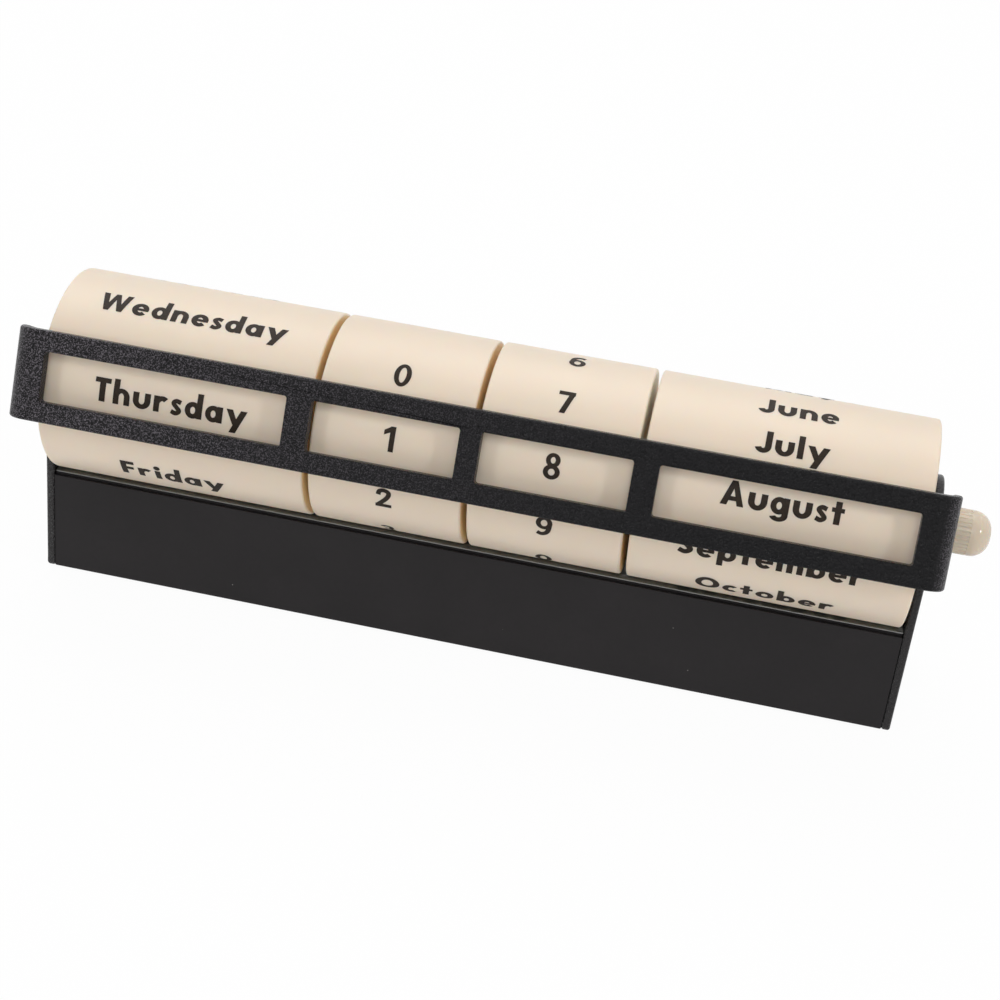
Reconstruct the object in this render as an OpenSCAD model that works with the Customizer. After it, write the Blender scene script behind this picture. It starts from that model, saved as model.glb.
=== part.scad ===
// Perpetual desk calendar with four rolling drums and a swinging window strip.
// Units are millimetres. X runs along the axle, -Y is the front, +Z is up.
// The origin is the centre of the footprint, on the surface the base stands on.

/* [Drums] */
// Outside diameter of the four drums
drum_d = 47.7; // [46:0.1:50]
// Length of the whole row of drums
stack_l = 200; // [190:1:210]
// Width of each of the two number drums
digit_w = 35.3; // [32:0.1:38]
// Gap between neighbouring drums
drum_gap = 1.4; // [1.2:0.1:2]
// Wall thickness of a drum
drum_wall = 2.2; // [1.6:0.1:3]
// Rounding of the drum rims
rim_r = 0.5; // [0.3:0.1:1.2]
// Diameter of the hub inside a drum
hub_d = 12; // [10:0.5:14]

/* [Axle] */
// Diameter of the axle
axle_d = 6; // [5:0.1:7]
// Radial play of everything that turns on the axle
axle_play = 0.05; // [0.03:0.01:0.09]
// Height of the axle above the table
axle_h = 48.4; // [46:0.2:54]

/* [Window strip] */
// Height of the strip
strip_h = 20.8; // [18:0.2:24]
// Thickness of the strip's front
strip_t = 3.2; // [2.4:0.1:4]
// Space between the drums and the back of the strip
strip_clear = 0.9; // [0.5:0.1:1.5]
// Height of the windows
window_h = 11.4; // [8:0.2:13]
// Width of the weekday and month windows
word_window_w = 56.2; // [50:0.2:57]
// Width of the two number windows
digit_window_w = 33.6; // [29:0.2:34.4]
// Width of the bar between the two number windows
centre_bar = 4.8; // [4:0.1:6]
// Width of the bars beside the number windows
side_bar = 5.6; // [4:0.1:7]
// How far the strip faces upwards, in degrees
strip_tilt = 27; // [15:1:40]
// Rounding where the strip turns back into its arms
bend_r = 5; // [3:0.5:7]
// Thickness of the arms
arm_t = 2.2; // [1.8:0.1:2.6]
// Radius of the round ends of the arms
arm_end_r = 6.5; // [6:0.1:8]

/* [Base] */
// Radius of the round top of the end plates
cheek_r = 11.7; // [10.5:0.1:13]
// Backward lean of the front panel, in degrees
panel_lean = 7; // [4:0.5:10]
// Thickness of the end plates
plate_t = 2; // [1.6:0.1:3]
// Wall thickness of the base
base_wall = 2.4; // [2:0.1:3]
// How far the lip on top of the base stays below the axle
lip_drop = 21.2; // [20.8:0.1:23]
// Space between the drums and the trough under them
trough_clear = 0.4; // [0.3:0.1:1.5]

/* [Knob] */
// Diameter of the thumb nut
knob_d = 10.4; // [10:0.2:13]
// Length of the thumb nut
knob_l = 9.1; // [8.8:0.1:12]
// Number of flutes around the thumb nut
flutes = 32; // [20:2:36]

/* [Hidden] */

cream = [0.9, 0.83, 0.72];
black = [0.05, 0.05, 0.055];
steel = [0.6, 0.6, 0.62];
nylon = [0.85, 0.85, 0.82];
cut = 1;                  // how far a cutting shape runs past what it cuts
overlap = 0.02;           // how far joined outlines run into each other

drum_r = drum_d / 2;
half_stack = stack_l / 2;
word_w = (stack_l - 2 * digit_w - 3 * drum_gap) / 2;
weekday_x = -half_stack;
tens_x = -drum_gap / 2 - digit_w;
units_x = drum_gap / 2;
month_x = half_stack - word_w;
hub_r = hub_d / 2;
end_wall = 2.2;           // thickness of a drum's closed end and of its cap
cap_play = 0.05;          // the cap is glued in with this much room around it
spacer_r = 7.3;
dish_inset = 1;           // the spring washer is this much smaller in radius than the spacers
side_play = 0.1;          // play on each side of a washer or spacer

axle_r = axle_d / 2;
run_r = axle_r + axle_play;
thread_r = 2;

end_gap = 1.2;            // drum row to end plate
plate_in = half_stack + end_gap;
plate_out = plate_in + plate_t;
arm_gap = 0.3;            // end plate to arm
arm_in = plate_out + arm_gap;
arm_out = arm_in + arm_t;
strip_back = drum_r + strip_clear;
strip_front = strip_back + strip_t;
inner_bend = 1.8;
arm_root = strip_front - bend_r;      // axle to the start of the strip's rounded corner
taper_r = arm_end_r - overlap;
taper_turn = atan2(strip_h / 2, arm_root) + acos(taper_r / norm([arm_root, strip_h / 2]));
bush_wall = 1;
bush_r = run_r + bush_wall;
flange_r = 5.5;
flange_t = 0.8;
flange_out = arm_out + flange_t;
drag_t = 0.6;
head_in = flange_out + drag_t + 2 * side_play;
head_t = 2;
head_r = 4.5;
head_round = 0.8;

pad_t = 1;
corner_r = 1.2;
shell_inset = 0.2;        // the panel sits this far inside the plate edges
lip_z = axle_h - lip_drop;
lip_t = 0.4;              // thickness of the trough's lip, which rests on ledges behind the panels
lip_inset = 1;            // the lip sits this far inside the plate edges
ledge_z = lip_z - lip_t;
ridge_drop = 0.4;         // the panel's top edge stays this far below the lip's underside
panel_z = ledge_z - ridge_drop;
ridge_t = 0.6;            // thickness of the panel in front of the groove along the lip
groove_w = 0.3;
groove_deep = 1;
ledge_inset = shell_inset + ridge_t + groove_w;
trough_r = drum_r + trough_clear;
trough_wall = 2;
roof_r = trough_r + trough_wall;
trough_play = 0.1;        // room between the trough and the walls it drops between
floor_t = 1.6;
floor_play = 0.2;
side_tan = tan(panel_lean);
tangent_y = (cheek_r - overlap) * cos(panel_lean);
tangent_z = axle_h + (cheek_r - overlap) * sin(panel_lean);
corner_z = pad_t + corner_r;
corner_y = side_y(corner_z) - (corner_r - overlap) / cos(panel_lean);
foot_y = side_y(pad_t) - shell_inset;
foot_cut = corner_r / 2;

hollow_l = plate_in - base_wall;
post_l = 10;              // length of the corner posts that the screws go into
post_gap = 12;            // width of the gap between two posts
boss_x = hollow_l - post_l / 2;
boss_y = 9;
screw_r = 1.5;
pilot_r = 1.45;           // the thread bites into the boss
screw_head_r = 2.8;
screw_head_t = 1.3;
screw_l = 8;
end_screw_z = 16;

knob_r = knob_d / 2;
knob_in = flange_out + side_play;
dome_r = 4.2;
fluted_l = 4.2;
flute_r = 0.3;
insert_r = 3;
insert_l = 5.4;
shoulder_gap = 0.2;       // the axle's full width ends this far short of the nut
axle_end = knob_in - shoulder_gap;

// Half depth of the end plates at height z
function side_y(z) = tangent_y + (tangent_z - z) * side_tan;

base_shell();
drum_trough();
bottom_plate();
base_pad();
bottom_screws();
left_end_plate();
right_end_plate();
end_plate_screws();
axle();
left_thrust_washer();
right_thrust_washer();
spring_washer();
drum_spacers();
weekday_drum();
weekday_cap();
tens_drum();
tens_cap();
units_drum();
units_cap();
month_drum();
month_cap();
window_strip();
strip_bushes();
drag_washer();
knob();
knob_insert();

// Moves a shape made along +Z so that it runs along +X at the axle, from x
module on_axle(x) {
    translate([x, 0, axle_h]) rotate([0, 90, 0]) children();
}

// A plain cylinder along the axle, from x0 to x1
module axle_rod(x0, x1, r) {
    on_axle(x0) cylinder(r = r, h = x1 - x0);
}

// A flat ring on the axle, from x0 to x1
module axle_ring(x0, x1, r_out, r_in) {
    difference() {
        axle_rod(x0, x1, r_out);
        axle_rod(x0 - cut, x1 + cut, r_in);
    }
}

// A four-sided bar along X with the slope of the end plates, moved in by inset
module sloped_bar(half_l, inset, z0, z1) {
    translate([-half_l, 0, 0]) rotate([90, 0, 90]) linear_extrude(height = 2 * half_l) polygon([
        [inset - side_y(z0), z0],
        [side_y(z0) - inset, z0],
        [side_y(z1) - inset, z1],
        [inset - side_y(z1), z1]
    ]);
}

// Puts copies at the four corner posts
module at_posts() {
    for (x = [-boss_x, boss_x], y = [-boss_y, boss_y]) translate([x, y, 0]) children();
}

// Puts copies at the end plate screws, pointing inwards from the outer face
module at_end_screws() {
    for (side = [0, 1], y = [-boss_y, boss_y])
        rotate([0, 0, 180 * side]) translate([plate_out, y, end_screw_z]) rotate([0, -90, 0]) children();
}

// A countersunk screw of length l, head face at z = 0, pointing along +Z
module screw(r, l) {
    cylinder(r1 = screw_head_r, r2 = r, h = screw_head_t);
    cylinder(r = r, h = l);
}

// The room that the trough's curved body takes between the walls
module trough_body(half_l, play) {
    intersection() {
        sloped_bar(half_l, shell_inset + base_wall + play, pad_t, ledge_z + overlap);
        axle_rod(-half_l, half_l, roof_r);
    }
}

// The dark grooves between the panels and the trough's lip
module lip_grooves() {
    difference() {
        sloped_bar(plate_in + cut, shell_inset + ridge_t, panel_z - groove_deep, panel_z + overlap);
        sloped_bar(plate_in + 2 * cut, ledge_inset, panel_z - groove_deep - cut, panel_z + cut);
    }
}

// What is cut off the shell's lower long edges, so that they stay inside the plates' rounded corners
module foot_cuts() {
    for (side = [0, 1])
        rotate([0, 0, 180 * side]) translate([-plate_in - cut, 0, 0]) rotate([90, 0, 90])
            linear_extrude(height = 2 * (plate_in + cut)) polygon([
                [foot_y - foot_cut - cut, pad_t - cut],
                [foot_y + cut, pad_t - cut],
                [foot_y + cut, pad_t + foot_cut + cut]
            ]);
}

// The panels, the end walls and four corner posts, in one piece
module base_shell() {
    inset = shell_inset + base_wall;
    color(black) difference() {
        union() {
            sloped_bar(plate_in, shell_inset, pad_t, panel_z);
            sloped_bar(plate_in, ledge_inset, pad_t + floor_t, ledge_z);
        }
        lip_grooves();
        foot_cuts();
        sloped_bar(hollow_l, inset, pad_t - cut, pad_t + floor_t);
        sloped_bar(hollow_l - post_l, inset, pad_t - cut, ledge_z + cut);
        translate([-hollow_l, -post_gap / 2, pad_t - cut]) cube([2 * hollow_l, post_gap, ledge_z]);
        trough_body(plate_in + cut, 0);
        at_posts() cylinder(r = pilot_r, h = pad_t + screw_l);
        at_end_screws() cylinder(r = pilot_r, h = screw_l);
    }
}

// The curved channel under the drums, with a lip that rests on the ledges
module drum_trough() {
    color(black) difference() {
        union() {
            sloped_bar(plate_in, lip_inset, ledge_z, lip_z);
            trough_body(plate_in, trough_play);
        }
        axle_rod(-plate_in - cut, plate_in + cut, trough_r);
    }
}

module bottom_plate() {
    inset = shell_inset + base_wall + floor_play;
    color(black) difference() {
        sloped_bar(plate_in - base_wall - floor_play, inset, pad_t, pad_t + floor_t);
        at_posts() translate([0, 0, pad_t]) screw(screw_r, screw_l);
    }
}

// A soft sheet glued under the base, which hides the bottom screws
module base_pad() {
    color(black) sloped_bar(plate_in - base_wall, shell_inset + base_wall, 0, pad_t);
}

module bottom_screws() {
    color(steel) at_posts() translate([0, 0, pad_t]) screw(pilot_r, screw_l - pad_t);
}

// An end plate standing on x = 0, with a round top, sloping sides and rounded lower corners
module end_plate() {
    corner_out = corner_y + (corner_r - overlap) * cos(panel_lean);
    corner_up = corner_z + (corner_r - overlap) * sin(panel_lean);
    difference() {
        union() {
            translate([0, 0, axle_h]) rotate([0, 90, 0]) cylinder(r = cheek_r, h = plate_t);
            rotate([90, 0, 90]) linear_extrude(height = plate_t) polygon([
                [-tangent_y, tangent_z],
                [tangent_y, tangent_z],
                [corner_out, corner_up],
                [corner_y, pad_t],
                [-corner_y, pad_t],
                [-corner_out, corner_up]
            ]);
            for (y = [-corner_y, corner_y])
                translate([0, y, corner_z]) rotate([0, 90, 0]) cylinder(r = corner_r, h = plate_t);
        }
        translate([-cut, 0, axle_h]) rotate([0, 90, 0]) cylinder(r = run_r, h = plate_t + 2 * cut);
    }
}

module left_end_plate() {
    color(black) difference() {
        translate([-plate_out, 0, 0]) end_plate();
        at_end_screws() screw(screw_r, screw_l);
    }
}

module right_end_plate() {
    color(black) difference() {
        translate([plate_in, 0, 0]) end_plate();
        at_end_screws() screw(screw_r, screw_l);
    }
}

module end_plate_screws() {
    color(steel) at_end_screws() screw(pilot_r, screw_l);
}

module axle() {
    color(steel) {
        axle_rod(-head_in, axle_end, axle_r);
        axle_rod(axle_end, knob_in + insert_l, thread_r);
        on_axle(-head_in - head_t) rotate_extrude() {
            translate([0, head_round]) square([head_r, head_t - head_round]);
            square([head_r - head_round, head_t]);
            translate([head_r - head_round, head_round]) circle(r = head_round);
        }
    }
}

module left_thrust_washer() {
    color(nylon) axle_ring(side_play - plate_in, -half_stack - side_play, spacer_r, run_r);
}

module right_thrust_washer() {
    color(nylon) axle_ring(half_stack + side_play, half_stack + end_gap / 2, spacer_r, run_r);
}

// A dished steel ring that keeps the drums lightly pressed together
module spring_washer() {
    dish = 0.15;
    sheet = 0.3;
    rim = spacer_r - dish_inset;
    color(steel) on_axle(half_stack + end_gap / 2 + side_play) rotate_extrude() polygon([
        [run_r, 0],
        [rim, dish],
        [rim, dish + sheet],
        [run_r, sheet]
    ]);
}

module drum_spacers() {
    color(nylon) for (x = [tens_x, units_x, month_x])
        axle_ring(x - drum_gap + side_play, x - side_play, spacer_r, run_r);
}

// Drum wall, closed end and hub, with its open end at z = 0
module drum(w) {
    wall_in = drum_r - drum_wall;
    rotate_extrude() {
        translate([drum_r - rim_r, rim_r]) circle(r = rim_r);
        translate([drum_r - rim_r, w - rim_r]) circle(r = rim_r);
        translate([wall_in, rim_r]) square([drum_wall, w - 2 * rim_r]);
        translate([wall_in, 0]) square([drum_wall - rim_r, w]);
        translate([run_r, w - end_wall]) square([wall_in - run_r + overlap, end_wall]);
        translate([run_r, end_wall]) square([hub_r - run_r, w - 2 * end_wall]);
    }
}

// The disc that closes a drum's open end
module cap() {
    rotate_extrude() translate([run_r, 0]) square([drum_r - drum_wall - cap_play - run_r, end_wall]);
}

module weekday_drum() {
    color(cream) on_axle(weekday_x) drum(word_w);
}

module weekday_cap() {
    color(cream) on_axle(weekday_x) cap();
}

module tens_drum() {
    color(cream) on_axle(tens_x) drum(digit_w);
}

module tens_cap() {
    color(cream) on_axle(tens_x) cap();
}

module units_drum() {
    color(cream) on_axle(units_x) drum(digit_w);
}

module units_cap() {
    color(cream) on_axle(units_x) cap();
}

module month_drum() {
    color(cream) on_axle(month_x) drum(word_w);
}

module month_cap() {
    color(cream) on_axle(month_x) cap();
}

// Half of the strip's front and one rounded corner, seen from above, with the axle along y = 0
module strip_half_outline() {
    translate([0, -strip_front]) square([arm_out - bend_r, strip_t]);
    difference() {
        intersection() {
            translate([arm_out - bend_r, -arm_root]) circle(r = bend_r);
            translate([arm_out - 2 * bend_r, -strip_front]) square([2 * bend_r, bend_r]);
        }
        inner_space();
    }
}

// The room inside the strip's corner, with a small rounding
module inner_space() {
    room = bend_r + strip_t;
    difference() {
        translate([arm_in - room, -strip_back]) square([room, room + strip_t]);
        difference() {
            translate([arm_in - inner_bend, -strip_back]) square(inner_bend);
            translate([arm_in - inner_bend, inner_bend - strip_back]) circle(r = inner_bend);
        }
    }
}

// An arm standing on x = 0, which narrows from the strip's height to a round end on the axle
module arm() {
    taper_y = taper_r * cos(taper_turn);
    taper_z = taper_r * sin(taper_turn);
    rotate([0, 90, 0]) cylinder(r = arm_end_r, h = arm_t);
    rotate([90, 0, 90]) linear_extrude(height = arm_t) polygon([
        [-arm_root, -strip_h / 2],
        [-taper_y, -taper_z],
        [-taper_y, taper_z],
        [-arm_root, strip_h / 2]
    ]);
}

module window(x0, w) {
    translate([x0, -strip_front - cut, -window_h / 2]) cube([w, strip_t + 2 * cut, window_h]);
}

module window_strip() {
    word_x = centre_bar / 2 + digit_window_w + side_bar;
    color(black) translate([0, 0, axle_h]) rotate([-strip_tilt, 0, 0]) difference() {
        union() {
            translate([0, 0, -strip_h / 2]) linear_extrude(height = strip_h) {
                strip_half_outline();
                mirror([1, 0]) strip_half_outline();
            }
            for (x = [-arm_out, arm_in]) translate([x, 0, 0]) arm();
        }
        window(-word_x - word_window_w, word_window_w);
        window(-centre_bar / 2 - digit_window_w, digit_window_w);
        window(centre_bar / 2, digit_window_w);
        window(word_x, word_window_w);
        translate([-arm_out - cut, 0, 0]) rotate([0, 90, 0]) cylinder(r = bush_r, h = 2 * (arm_out + cut));
    }
}

module strip_bushes() {
    color(nylon) for (side = [0, 1]) translate([0, 0, axle_h]) rotate([0, 0, 180 * side]) difference() {
        union() {
            translate([arm_in, 0, 0]) rotate([0, 90, 0]) cylinder(r = bush_r, h = arm_t);
            translate([arm_out, 0, 0]) rotate([0, 90, 0]) cylinder(r = flange_r, h = flange_t);
        }
        translate([arm_in - cut, 0, 0]) rotate([0, 90, 0]) cylinder(r = run_r, h = flange_out);
    }
}

module drag_washer() {
    color(nylon) axle_ring(-flange_out - side_play - drag_t, -flange_out - side_play, flange_r, run_r);
}

module knob() {
    color(cream) difference() {
        on_axle(knob_in) rotate_extrude() {
            square([knob_r, knob_l - dome_r]);
            translate([0, knob_l - dome_r]) intersection() {
                square(knob_r);
                union() {
                    translate([knob_r - dome_r, 0]) circle(r = dome_r);
                    square([knob_r - dome_r, dome_r]);
                }
            }
        }
        for (i = [0:flutes - 1])
            on_axle(knob_in - cut) rotate([0, 0, i * 360 / flutes]) translate([knob_r + flute_r / 2, 0, 0])
                cylinder(r = flute_r, h = fluted_l + cut);
        axle_rod(knob_in - cut, knob_in + insert_l + side_play, insert_r);
    }
}

module knob_insert() {
    color([0.75, 0.6, 0.3]) axle_ring(knob_in, knob_in + insert_l, insert_r, thread_r + axle_play);
}
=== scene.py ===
import math

import bmesh
import bpy
from bpy.props import FloatProperty, FloatVectorProperty, PointerProperty
from bpy.types import Operator, Panel, PropertyGroup
from mathutils import Matrix, Vector
from mathutils.geometry import delaunay_2d_cdt


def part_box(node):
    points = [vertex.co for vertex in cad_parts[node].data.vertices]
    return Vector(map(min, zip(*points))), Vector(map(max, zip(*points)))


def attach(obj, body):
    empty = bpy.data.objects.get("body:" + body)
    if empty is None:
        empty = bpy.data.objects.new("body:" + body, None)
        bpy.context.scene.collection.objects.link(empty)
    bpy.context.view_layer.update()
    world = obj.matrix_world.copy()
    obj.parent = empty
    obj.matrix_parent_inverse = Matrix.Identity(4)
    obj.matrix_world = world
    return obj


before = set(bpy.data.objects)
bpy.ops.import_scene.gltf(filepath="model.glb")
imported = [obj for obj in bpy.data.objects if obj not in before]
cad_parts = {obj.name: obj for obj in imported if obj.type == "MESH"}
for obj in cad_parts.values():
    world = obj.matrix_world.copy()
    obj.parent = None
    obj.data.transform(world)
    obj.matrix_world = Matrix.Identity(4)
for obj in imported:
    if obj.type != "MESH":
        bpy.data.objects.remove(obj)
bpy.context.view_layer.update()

bl_info = {
    "name": "Desk Calendar Finish",
    "version": (1, 0, 0),
    "blender": (4, 5, 0),
    "location": "3D View > Sidebar > Desk Calendar",
    "description": "Finishes for the drums, window strip, base and thumb nut of a rolling desk calendar",
    "category": "Object",
}

WEEKDAYS = ["Monday", "Tuesday", "Wednesday", "Thursday", "Friday", "Saturday", "Sunday"]
MONTHS = [
    "January", "February", "March", "April", "May", "June",
    "July", "August", "September", "October", "November", "December",
]
FIRST_FIGURES = ["0", "1", "2", "3", "", "0", "1", "2", "3", ""]
SECOND_FIGURES = list("0123456789")
# Rows that are printed a little off the even spacing, in degrees round the drum
ROW_SHIFT = {
    "Wednesday": -1.2, "Thursday": -1.8, "Friday": -0.8,
    "June": -4.6, "July": -0.9, "August": -1.5, "September": -4.5, "October": -4.5, "November": -4.5,
}

DRUM_LOW, DRUM_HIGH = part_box("weekday_drum")
AXLE_HEIGHT = (DRUM_LOW.z + DRUM_HIGH.z) / 2
DRUM_RADIUS = (DRUM_HIGH.z - DRUM_LOW.z) / 2

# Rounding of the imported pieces' edges: which edges are sharp, which faces count as one flat face,
# how near two corners or two rounding points are joined, in how many steps an edge is rounded,
# and how far from a hole's middle the rounding begins
SHARP_ANGLE = math.radians(35)
ONE_FACE_ANGLE = math.radians(0.2)
CORNER_JOIN = 0.000001
PLATE_CORNER_JOIN = 0.00005
SLIVER_JOIN = 0.00003
PLATE_SLIVER_JOIN = 0.00008
PIECE_STEPS = 3
STRIP_STEPS = 4
PLATE_STEPS = 5
HOLE_CLEARANCE = 0.005

# Lettering: degrees of a bow that one block covers, blocks between two points of a stroke, how
# near two points are one, how near a point lies on a cut, and the height of the bands that a word
# is cut into before it is bent round a drum
BOW_STEP = 10
STROKE_STEPS = 6
SAME_POINT = 1e-5
ON_CUT = 1e-7
BAND_HEIGHT = 0.0009

# The drums' ends, in metres: how deep under the rim the painted glow of bounced light starts, how far out
# the inner ends reach, and where the third gap is open to the light, with painted pale light at its top
PAINTED_GLOW_DEPTH = (0.0009, 0.0003)
INNER_ENDS = (0.06, 0.061)
OPEN_GAP_SIDE = (0.03, 0.031)
OPEN_GAP_HEIGHT = (0.011, 0.015)

# Where the painted glints on the strip's grain are strongest and weakest, along its length
GLINTS_FROM = -0.09
GLINTS_TO = 0.055

# The stage
FLOOR_HALF = 4
FLOOR_DROP = 0.0003
FLOOR_WHITE = (0.92, 0.92, 0.92, 1)
FLOOR_GLOW_SHARE = 0.96
WHITE = (1, 1, 1, 1)
SENSOR_WIDTH = 36
NEAREST = 0.01
CAMERA_RIGHT = (0.97500684, 0.20769184, 0.0789035)
CAMERA_DOWN = (0.18439724, -0.55836636, -0.80884156)
CAMERA_FORWARD = (-0.12393273, 0.80317564, -0.58270882)
# Each light's name, place, target, width, height and setting
LIGHTS = [
    ("top_light", (-0.15, 0.45, 0.85), (0, 0, 0.05), 0.9, 0.7, "key_power"),
    ("front_light", (0.08, -0.90, 0.92), (0, 0, 0.05), 0.8, 0.6, "front_power"),
    ("left_light", (-0.80, -0.85, 0.45), (-0.03, 0, 0.05), 0.16, 0.16, "left_power"),
    ("right_light", (0.80, -0.35, 0.585), (0.05, 0, 0.05), 0.09, 0.09, "right_power"),
    ("knob_light", (0.61, 0.71, 0.65), (0.11, 0, 0.05), 0.045, 0.045, "knob_power"),
]


# ---------------------------------------------------------------- settings

class DrumSettings(PropertyGroup):
    cream: FloatVectorProperty(
        name="Cream", description="Colour of the drums and their caps",
        default=(0.83, 0.70, 0.565), subtype="COLOR", size=3, min=0, max=1)
    # Painted light: the warm glow that light bounced and passed through the cream plastic gives between two
    # drums
    painted_gap_light: FloatVectorProperty(
        name="Gap Glow", description="Deeper colour of the plastic between two drums",
        default=(1.0, 0.76, 0.46), subtype="COLOR", size=3, min=0, max=1)
    # Painted light: the pale light that shows through the top of the open gap
    painted_open_gap_light: FloatVectorProperty(
        name="Open Gap Glow", description="Paler colour at the top of the open gap",
        default=(1.0, 0.92, 0.78), subtype="COLOR", size=3, min=0, max=1)
    roughness: FloatProperty(
        name="Roughness", description="How dull the drums' polish is",
        default=0.38, subtype="FACTOR", min=0, max=1)
    ripple_size: FloatProperty(
        name="Ripple Size", description="Size of the ripples in the moulded surface",
        default=0.0035, unit="LENGTH", min=0.0005, max=0.02, precision=4)
    ripple_depth: FloatProperty(
        name="Ripple Depth", description="Depth of the ripples in the moulded surface",
        default=0.000002, unit="LENGTH", min=0, max=0.0001, precision=6)


class LegendSettings(PropertyGroup):
    ink: FloatVectorProperty(
        name="Ink", description="Colour of the printed words and figures",
        default=(0.011, 0.0065, 0.0032), subtype="COLOR", size=3, min=0, max=1)
    word_height: FloatProperty(
        name="Word Height", description="Height of a capital letter",
        default=0.00545, unit="LENGTH", min=0.003, max=0.008, precision=4)
    figure_height: FloatProperty(
        name="Figure Height", description="Height of a date figure",
        default=0.0057, unit="LENGTH", min=0.003, max=0.009, precision=4)
    letter_gap: FloatProperty(
        name="Letter Gap", description="Space between letters, as a share of a capital's height",
        default=0.135, subtype="FACTOR", min=0.05, max=0.5)
    lift: FloatProperty(
        name="Lift", description="How far the print stands off the drum",
        default=0.00003, unit="LENGTH", min=0.00001, max=0.0002, precision=5)
    weekday_angle: FloatProperty(
        name="Weekday Angle",
        description="Height of the read weekday's foot round the drum, from the front",
        default=math.radians(20.2), subtype="ANGLE", min=-math.pi, max=math.pi)
    tens_angle: FloatProperty(
        name="Tens Angle",
        description="Height of the read first figure's foot round the drum, from the front",
        default=math.radians(20.2), subtype="ANGLE", min=-math.pi, max=math.pi)
    units_angle: FloatProperty(
        name="Units Angle",
        description="Height of the read second figure's foot round the drum, from the front",
        default=math.radians(21.8), subtype="ANGLE", min=-math.pi, max=math.pi)
    month_angle: FloatProperty(
        name="Month Angle",
        description="Height of the read month's foot round the drum, from the front",
        default=math.radians(27.2), subtype="ANGLE", min=-math.pi, max=math.pi)


class BlackSettings(PropertyGroup):
    strip_black: FloatVectorProperty(
        name="Strip Black", description="Colour of the window strip",
        default=(0.0048, 0.0046, 0.0054), subtype="COLOR", size=3, min=0, max=1)
    panel_black: FloatVectorProperty(
        name="Panel Black", description="Colour of the base panels and end plates",
        default=(0.0138, 0.0122, 0.0130), subtype="COLOR", size=3, min=0, max=1)
    # Painted glints: the pale pebble tips where the side lights catch the strip's grain
    strip_glint_colour: FloatVectorProperty(
        name="Strip Tips", description="Colour of the rubbed tips of the strip's grain",
        default=(0.135, 0.122, 0.138), subtype="COLOR", size=3, min=0, max=1)
    # Painted glints: the pale pebble tips where the side lights catch the end plates' grain
    plate_glint_colour: FloatVectorProperty(
        name="Plate Tips", description="Colour of the rubbed tips of the end plates' grain",
        default=(0.05, 0.05, 0.05), subtype="COLOR", size=3, min=0, max=1)
    dust: FloatVectorProperty(
        name="Dust", description="Colour of the specks of dust on the base",
        default=(0.20, 0.19, 0.18), subtype="COLOR", size=3, min=0, max=1)
    # Painted reflection: the grey-green of the cream drums seen in the trough's faces turned up
    painted_trough_reflection: FloatVectorProperty(
        name="Polish Black", description="Colour of the polished trough",
        default=(0.05, 0.052, 0.043), subtype="COLOR", size=3, min=0, max=1)
    leather_size: FloatProperty(
        name="Leather Grain Size", description="Size of one pebble of the strip's leather grain",
        default=0.0005, unit="LENGTH", min=0.0002, max=0.002, precision=5)
    leather_depth: FloatProperty(
        name="Leather Grain Depth", description="Depth of the strip's leather grain",
        default=0.0002, unit="LENGTH", min=0, max=0.0005, precision=6)
    matte_size: FloatProperty(
        name="Matte Grain Size", description="Size of the fine grain on the base",
        default=0.00022, unit="LENGTH", min=0.0001, max=0.001, precision=5)
    matte_depth: FloatProperty(
        name="Matte Grain Depth", description="Depth of the fine grain on the base",
        default=0.000012, unit="LENGTH", min=0, max=0.0002, precision=6)
    strip_round: FloatProperty(
        name="Strip Rounding", description="Rounding of the window strip's edges",
        default=0.0006, unit="LENGTH", min=0, max=0.001, precision=5)
    plate_round: FloatProperty(
        name="Plate Rounding", description="Rounding of the end plates' edges",
        default=0.0006, unit="LENGTH", min=0, max=0.001, precision=5)
    base_round: FloatProperty(
        name="Base Rounding", description="Rounding of the panels' and the trough's edges",
        default=0.00025, unit="LENGTH", min=0, max=0.001, precision=5)


class FittingSettings(PropertyGroup):
    nut_cream: FloatVectorProperty(
        name="Thumb Nut Cream", description="Colour of the thumb nut",
        default=(0.70, 0.60, 0.47), subtype="COLOR", size=3, min=0, max=1)
    nut_roughness: FloatProperty(
        name="Thumb Nut Roughness", description="How dull the thumb nut's polish is",
        default=0.15, subtype="FACTOR", min=0, max=1)
    nylon: FloatVectorProperty(
        name="Nylon", description="Colour of the washers, spacers and bushes",
        default=(0.70, 0.68, 0.62), subtype="COLOR", size=3, min=0, max=1)
    steel: FloatVectorProperty(
        name="Steel", description="Colour of the axle",
        default=(0.58, 0.58, 0.60), subtype="COLOR", size=3, min=0, max=1)
    brass: FloatVectorProperty(
        name="Brass", description="Colour of the thread insert",
        default=(0.78, 0.56, 0.26), subtype="COLOR", size=3, min=0, max=1)


class StageSettings(PropertyGroup):
    camera_place: FloatVectorProperty(
        name="Camera Place", description="Where the camera stands",
        default=(0.06033, -0.36269, 0.29626), subtype="TRANSLATION", unit="LENGTH", size=3)
    lens: FloatProperty(
        name="Lens", description="Focal length in millimetres",
        default=68.92, min=20, max=200)
    key_power: FloatProperty(
        name="Top Light", description="Power of the large light overhead",
        default=4.8, unit="POWER", min=0, max=200)
    front_power: FloatProperty(
        name="Front Light", description="Power of the large light above the camera",
        default=3.7, unit="POWER", min=0, max=200)
    left_power: FloatProperty(
        name="Left Light", description="Power of the soft light on the left",
        default=2.2, unit="POWER", min=0, max=200)
    right_power: FloatProperty(
        name="Right Light", description="Power of the soft light on the right",
        default=2.0, unit="POWER", min=0, max=200)
    knob_power: FloatProperty(
        name="Knob Light", description="Power of the small light behind the knob",
        default=0.4, unit="POWER", min=0, max=200)
    room: FloatProperty(
        name="Room Light", description="Strength of the even light from all round",
        default=0.30, min=0, max=2)


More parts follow.
